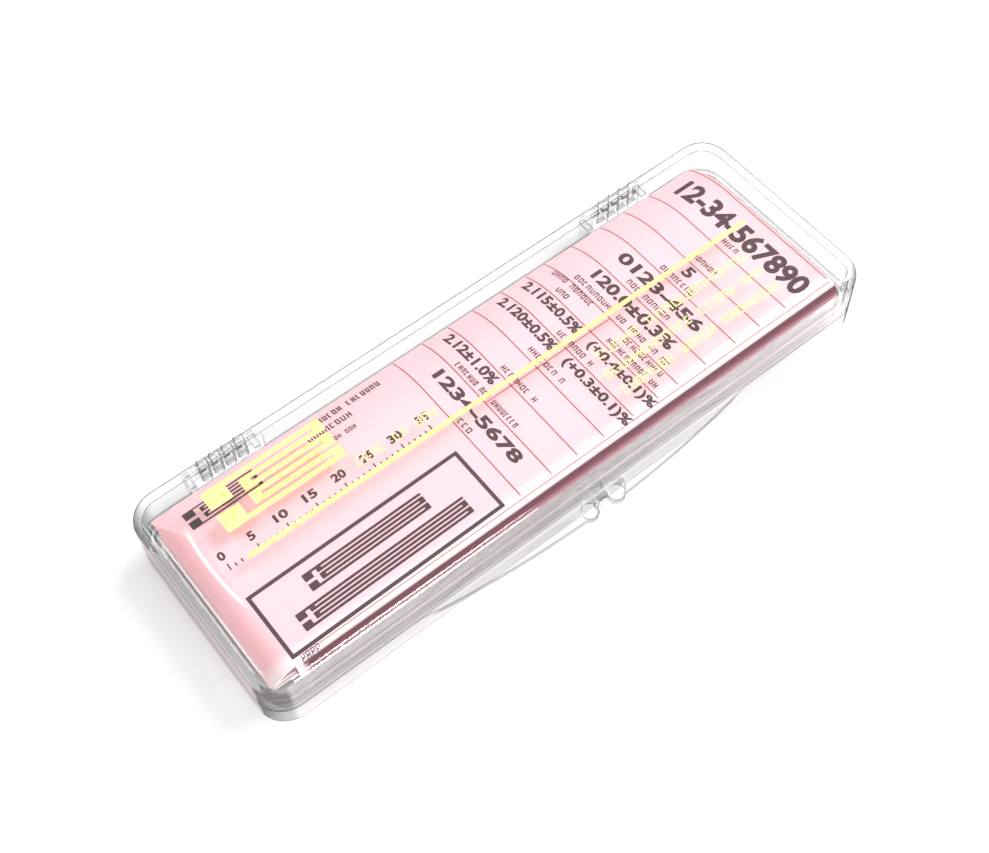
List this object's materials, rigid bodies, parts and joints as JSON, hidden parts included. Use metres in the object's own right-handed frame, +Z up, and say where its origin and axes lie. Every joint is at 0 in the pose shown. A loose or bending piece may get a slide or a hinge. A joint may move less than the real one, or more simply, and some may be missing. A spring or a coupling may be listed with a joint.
{
  "type": "foil strain gauge pack",
  "caption": "Slim clear hinged case with a thumb flange and snap hinges, holding a folded data card and a film sleeve of foil strain gauges.",
  "frame": {"origin": "middle of the tray's flat underside", "axes": "+X along the case, +Y towards the hinges, +Z up through the lid"},
  "size_m": [0.11, 0.043, 0.012],
  "materials": {
    "tray_plastic": "clear, polished moulding",
    "lid_plastic": "clear, polished moulding",
    "card_paper": "matt pink stock",
    "sleeve_film": "clear film",
    "gauge_backing": "amber film",
    "gauge_foil": "matt etched foil"
  },
  "bodies": {
    "tray": {"base_tray": "tray_plastic", "data_card": "card_paper", "gauge_sleeve": "sleeve_film", "gauge_1_backing": "gauge_backing", "gauge_2_backing": "gauge_backing", "gauge_3_backing": "gauge_backing", "gauge_4_backing": "gauge_backing", "gauge_5_backing": "gauge_backing", "gauge_1_foil": "gauge_foil", "gauge_2_foil": "gauge_foil", "gauge_3_foil": "gauge_foil", "gauge_4_foil": "gauge_foil", "gauge_5_foil": "gauge_foil"},
    "lid": {"lid": "lid_plastic"}
  },
  "joints": [
    {"name": "lid_hinge", "type": "hinge", "parent": "tray", "child": "lid", "pos_m": [0, 0.02015, 0.00525], "axis": [-1, 0, 0], "range_deg": [0, 110]}
  ]
}
